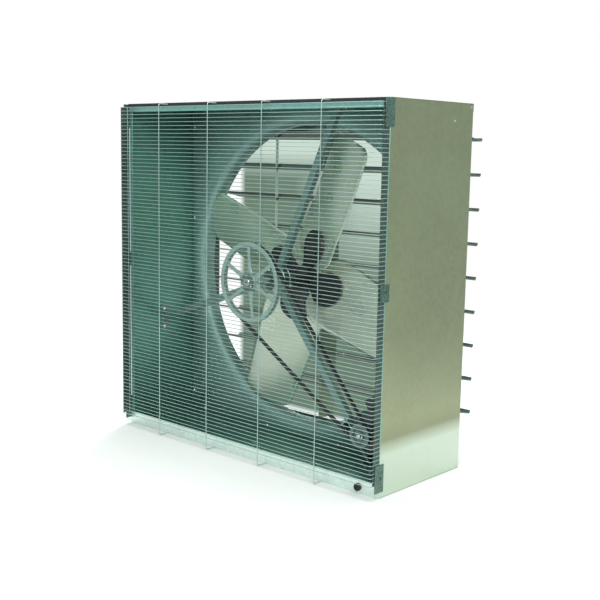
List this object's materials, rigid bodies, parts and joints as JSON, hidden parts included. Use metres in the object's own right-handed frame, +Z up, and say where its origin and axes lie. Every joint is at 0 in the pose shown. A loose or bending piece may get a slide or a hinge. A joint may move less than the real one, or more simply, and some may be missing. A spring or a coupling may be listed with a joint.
{
  "type": "belt drive cabinet exhaust fan",
  "caption": "Square galvanised greenhouse exhaust fan: wire intake guard, belt driven propeller in a venturi, and a gravity louver shutter behind.",
  "frame": {"origin": "middle of the footprint of the whole fan, louvers open, on the floor", "axes": "+Z up, +Y the way the air blows, out through the louvers; +X to the right seen from the guard"},
  "size_m": [1.3836, 0.6779, 1.372],
  "materials": {
    "galvanised_sheet": "galvanised sheet with a fine spangle",
    "blade_sheet": "galvanised sheet, brighter",
    "clip_sheet": "zinc plated sheet",
    "guard_wire": "zinc plated wire",
    "shutter_aluminium": "mill finish",
    "tie_bar_strip": "zinc plated strip",
    "propeller_spider": "black paint",
    "sheave_iron": "grey cast iron, machined groove",
    "bearing_iron": "grey cast iron",
    "bright_steel": "ground steel",
    "motor_core": "stacked steel sheets",
    "motor_paint": "dark paint",
    "black_rubber": "black rubber"
  },
  "bodies": {
    "cabinet": {"cabinet_top": "galvanised_sheet", "cabinet_bottom": "galvanised_sheet", "cabinet_right_side": "galvanised_sheet", "cabinet_left_side": "galvanised_sheet", "orifice_panel": "galvanised_sheet", "shutter_panel": "galvanised_sheet", "strut_upper": "galvanised_sheet", "strut_left": "galvanised_sheet", "strut_motor": "galvanised_sheet", "bearing_plate_front": "galvanised_sheet", "bearing_plate_rear": "galvanised_sheet", "motor_bracket": "galvanised_sheet", "guard_clip_left_top": "clip_sheet", "guard_clip_left_middle": "clip_sheet", "guard_clip_left_bottom": "clip_sheet", "guard_clip_right_top": "clip_sheet", "guard_clip_right_middle": "clip_sheet", "guard_clip_right_bottom": "clip_sheet", "guard_front_wires": "guard_wire", "guard_return_left": "guard_wire", "guard_return_right": "guard_wire", "guard_stay_1": "guard_wire", "guard_stay_2": "guard_wire", "guard_stay_3": "guard_wire", "guard_stay_4": "guard_wire", "shutter_jamb_left": "shutter_aluminium", "shutter_jamb_right": "shutter_aluminium", "shutter_mullion": "shutter_aluminium", "bearing_front": "bearing_iron", "bearing_rear": "bearing_iron", "motor_stator": "motor_core", "motor_shell": "motor_paint", "motor_front_bell": "motor_paint", "motor_rear_bell": "motor_paint", "motor_conduit_box": "motor_paint", "v_belt": "black_rubber", "top_edge_strip": "black_rubber", "cable_grommet": "black_rubber"},
    "fan": {"fan_shaft": "bright_steel", "driven_sheave": "sheave_iron", "sheave_bushing": "bright_steel", "propeller_spider": "propeller_spider", "blade_1": "blade_sheet", "blade_2": "blade_sheet", "blade_3": "blade_sheet", "blade_4": "blade_sheet"},
    "motor_drive": {"motor_shaft": "bright_steel", "motor_rotor": "motor_core", "motor_pulley": "sheave_iron"},
    "louver_1": {"louver_1": "shutter_aluminium"},
    "louver_2": {"louver_2": "shutter_aluminium"},
    "louver_3": {"louver_3": "shutter_aluminium"},
    "louver_4": {"louver_4": "shutter_aluminium"},
    "louver_5": {"louver_5": "shutter_aluminium"},
    "louver_6": {"louver_6": "shutter_aluminium"},
    "louver_7": {"louver_7": "shutter_aluminium"},
    "louver_8": {"louver_8": "shutter_aluminium"},
    "louver_9": {"louver_9": "shutter_aluminium"},
    "tie_bar_left": {"tie_bar_left": "tie_bar_strip"},
    "tie_bar_right": {"tie_bar_right": "tie_bar_strip"}
  },
  "joints": [
    {"name": "fan_spin", "type": "hinge", "parent": "cabinet", "child": "fan", "pos_m": [0, 0, 0.686], "axis": [0, 1, 0], "continuous": true},
    {"name": "motor_spin", "type": "hinge", "parent": "cabinet", "child": "motor_drive", "pos_m": [0.566, 0, 0.193], "axis": [0, 1, 0], "continuous": true},
    {"name": "louver_1_hinge", "type": "hinge", "parent": "cabinet", "child": "louver_1", "pos_m": [0, 0.19785, 1.265], "axis": [-1, 0, 0], "range_deg": [0, 75]},
    {"name": "louver_2_hinge", "type": "hinge", "parent": "cabinet", "child": "louver_2", "pos_m": [0, 0.19785, 1.1332], "axis": [-1, 0, 0], "range_deg": [0, 75]},
    {"name": "louver_3_hinge", "type": "hinge", "parent": "cabinet", "child": "louver_3", "pos_m": [0, 0.19785, 1.0014], "axis": [-1, 0, 0], "range_deg": [0, 75]},
    {"name": "louver_4_hinge", "type": "hinge", "parent": "cabinet", "child": "louver_4", "pos_m": [0, 0.19785, 0.8696], "axis": [-1, 0, 0], "range_deg": [0, 75]},
    {"name": "louver_5_hinge", "type": "hinge", "parent": "cabinet", "child": "louver_5", "pos_m": [0, 0.19785, 0.7378], "axis": [-1, 0, 0], "range_deg": [0, 75]},
    {"name": "louver_6_hinge", "type": "hinge", "parent": "cabinet", "child": "louver_6", "pos_m": [0, 0.19785, 0.606], "axis": [-1, 0, 0], "range_deg": [0, 75]},
    {"name": "louver_7_hinge", "type": "hinge", "parent": "cabinet", "child": "louver_7", "pos_m": [0, 0.19785, 0.4742], "axis": [-1, 0, 0], "range_deg": [0, 75]},
    {"name": "louver_8_hinge", "type": "hinge", "parent": "cabinet", "child": "louver_8", "pos_m": [0, 0.19785, 0.3424], "axis": [-1, 0, 0], "range_deg": [0, 75]},
    {"name": "louver_9_hinge", "type": "hinge", "parent": "cabinet", "child": "louver_9", "pos_m": [0, 0.19785, 0.2106], "axis": [-1, 0, 0], "range_deg": [0, 75]},
    {"name": "tie_bar_left_pin", "type": "hinge", "parent": "louver_1", "child": "tie_bar_left", "pos_m": [-0.2623, 0.17421, 1.24653], "axis": [-1, 0, 0], "range_deg": [-75, 0]},
    {"name": "tie_bar_right_pin", "type": "hinge", "parent": "louver_1", "child": "tie_bar_right", "pos_m": [0.3306, 0.17421, 1.24653], "axis": [-1, 0, 0], "range_deg": [-75, 0]}
  ],
  "couplings": [
    {"joint": "motor_spin", "follows": "fan_spin", "ratio": 3.96},
    {"joint": "louver_2_hinge", "follows": "louver_1_hinge", "ratio": 1},
    {"joint": "louver_3_hinge", "follows": "louver_1_hinge", "ratio": 1},
    {"joint": "louver_4_hinge", "follows": "louver_1_hinge", "ratio": 1},
    {"joint": "louver_5_hinge", "follows": "louver_1_hinge", "ratio": 1},
    {"joint": "louver_6_hinge", "follows": "louver_1_hinge", "ratio": 1},
    {"joint": "louver_7_hinge", "follows": "louver_1_hinge", "ratio": 1},
    {"joint": "louver_8_hinge", "follows": "louver_1_hinge", "ratio": 1},
    {"joint": "louver_9_hinge", "follows": "louver_1_hinge", "ratio": 1},
    {"joint": "tie_bar_left_pin", "follows": "louver_1_hinge", "ratio": -1},
    {"joint": "tie_bar_right_pin", "follows": "louver_1_hinge", "ratio": -1}
  ]
}
